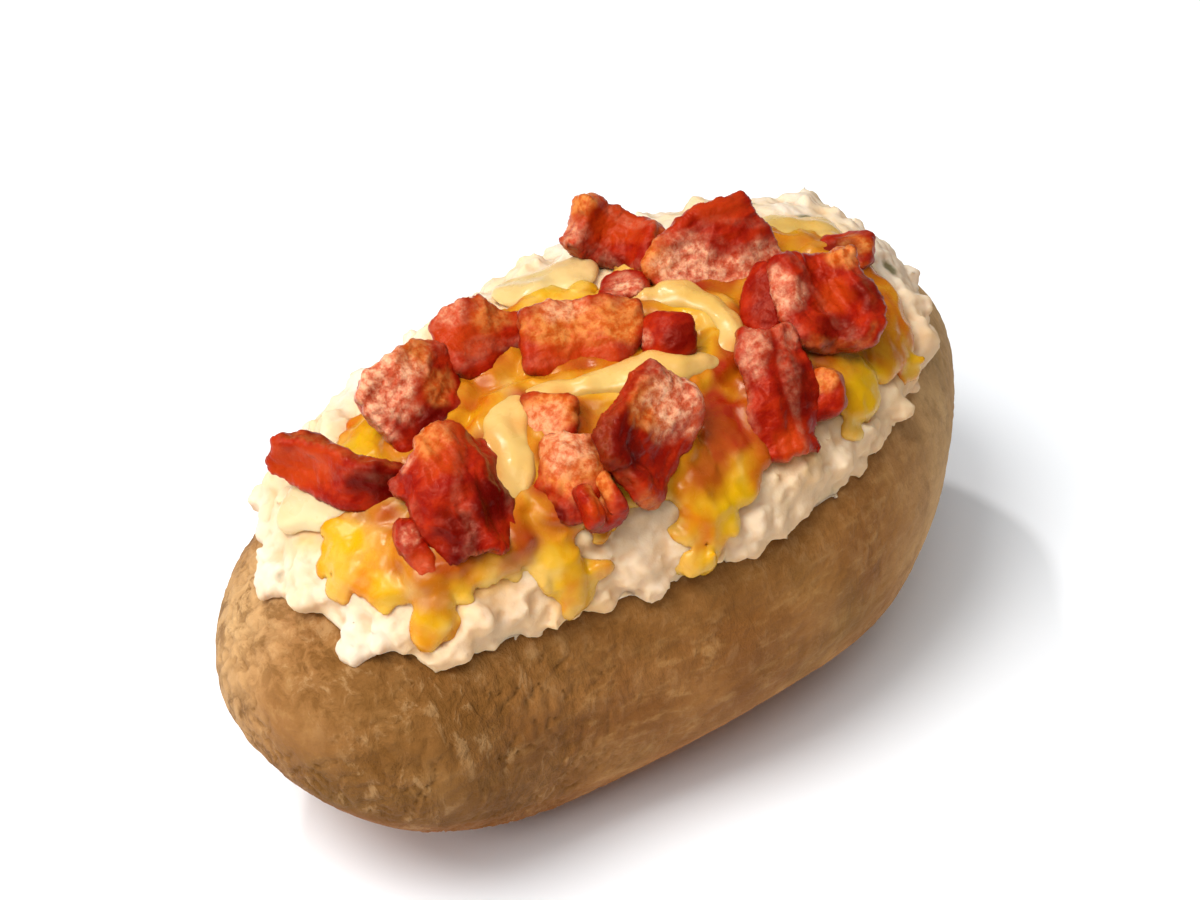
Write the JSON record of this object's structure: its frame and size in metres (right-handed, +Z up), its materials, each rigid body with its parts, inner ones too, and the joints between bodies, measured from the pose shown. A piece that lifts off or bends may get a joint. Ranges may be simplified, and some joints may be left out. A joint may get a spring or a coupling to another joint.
{
  "type": "loaded baked potato",
  "caption": "Whole baked potato in its jacket, opened along the top and heaped with fluffed flesh, melted cheddar, pale cheese sauce and chopped bacon; rests on its underside.",
  "frame": {"origin": "centre of the bounding box in X and Y, on the table under the potato in Z", "axes": "+X along the potato's long way, +Z up, -Y towards the side that the cheddar runs down"},
  "size_m": [0.1304, 0.0712, 0.0757],
  "materials": {
    "potato_jacket": "matte baked russet skin, dry, finely netted and wrinkled",
    "potato_flesh": "mealy fluffed potato, soft and slightly translucent",
    "melted_cheddar": "melted cheddar, satin and greasy, slightly translucent",
    "cheese_sauce": "smooth pale cheese sauce, soft gloss",
    "bacon": "fried bacon, red lean with pink and pale fat streaks, oily gloss"
  },
  "bodies": {
    "root": {"bacon_01": "bacon", "bacon_02": "bacon", "bacon_03": "bacon", "bacon_04": "bacon", "bacon_05": "bacon", "bacon_06": "bacon", "bacon_07": "bacon", "bacon_08": "bacon", "bacon_09": "bacon", "bacon_10": "bacon", "bacon_11": "bacon", "bacon_12": "bacon", "bacon_13": "bacon", "bacon_14": "bacon", "bacon_15": "bacon", "bacon_16": "bacon", "bacon_17": "bacon", "bacon_18": "bacon", "bacon_19": "bacon", "cheese_sauce_far_pool": "cheese_sauce", "cheese_sauce_left_pool": "cheese_sauce", "cheese_sauce_ribbon": "cheese_sauce", "cheese_sauce_right_pool": "cheese_sauce", "melted_cheddar": "melted_cheddar", "potato_flesh": "potato_flesh", "potato_jacket": "potato_jacket"}
  },
  "joints": []
}
